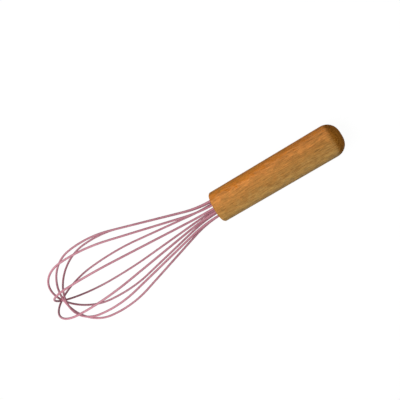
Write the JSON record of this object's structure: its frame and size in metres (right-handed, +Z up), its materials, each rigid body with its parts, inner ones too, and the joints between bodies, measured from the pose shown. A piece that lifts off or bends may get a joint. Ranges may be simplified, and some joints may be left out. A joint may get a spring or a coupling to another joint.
{
  "type": "balloon whisk",
  "caption": "Balloon whisk: looped spring wires in a dusty pink coating, set in a plain round wooden handle. It lies at rest on its side.",
  "frame": {"origin": "bottom centre of the bounding box, on the surface that the whisk lies on", "axes": "+Z up as the whisk lies on a table, +X along the whisk from the handle to the tip of the balloon, +Y to the left seen from the handle. The handle's axis runs in the XZ plane, lifted 5.7 degrees towards the tip, because the whisk rests on the back edge of the handle and on its two lowest wires."},
  "size_m": [0.3032, 0.076, 0.0767],
  "materials": {
    "beech": "oiled beech, fine flecks along the grain",
    "resin": "cured casting resin, slightly cloudy",
    "spring_steel": "drawn spring wire, hidden under the coating",
    "pink_coating": "smooth satin coating, dusty pink"
  },
  "bodies": {
    "root": {"handle": "beech", "handle_resin": "resin", "wire_1": "spring_steel", "wire_2": "spring_steel", "wire_3": "spring_steel", "wire_4": "spring_steel", "wire_5": "spring_steel", "coating_1": "pink_coating", "coating_2": "pink_coating", "coating_3": "pink_coating", "coating_4": "pink_coating", "coating_5": "pink_coating"}
  },
  "joints": []
}
